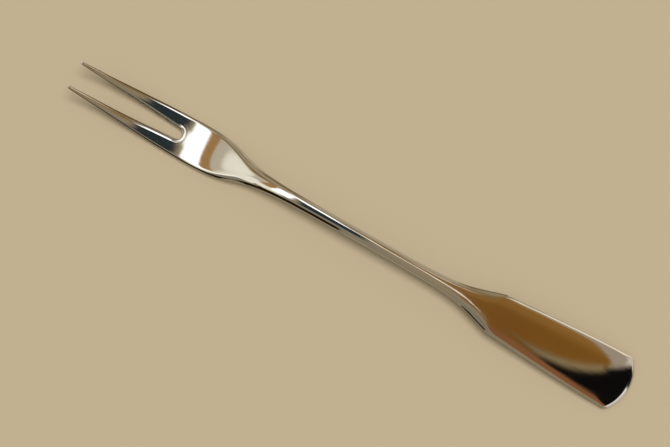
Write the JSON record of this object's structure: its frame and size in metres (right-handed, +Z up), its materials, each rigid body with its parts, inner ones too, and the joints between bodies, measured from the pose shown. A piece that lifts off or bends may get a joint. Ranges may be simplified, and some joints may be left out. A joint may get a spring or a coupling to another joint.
{
  "type": "meat fork",
  "caption": "Slim serving fork for meat: long tapered tines on a flat head, narrow neck, slender shank and a spade-shaped handle with shoulders, all one polished steel piece.",
  "frame": {"origin": "bottom centre of the fork's box, on the surface it lies on", "axes": "+X from the tine tips to the end of the handle, +Z up out of the upper face, +Y across"},
  "size_m": [0.192, 0.0178, 0.0079],
  "materials": {
    "polished_steel": "mirror polished stainless steel with fine wear scratches"
  },
  "bodies": {
    "root": {"fork": "polished_steel"}
  },
  "joints": []
}
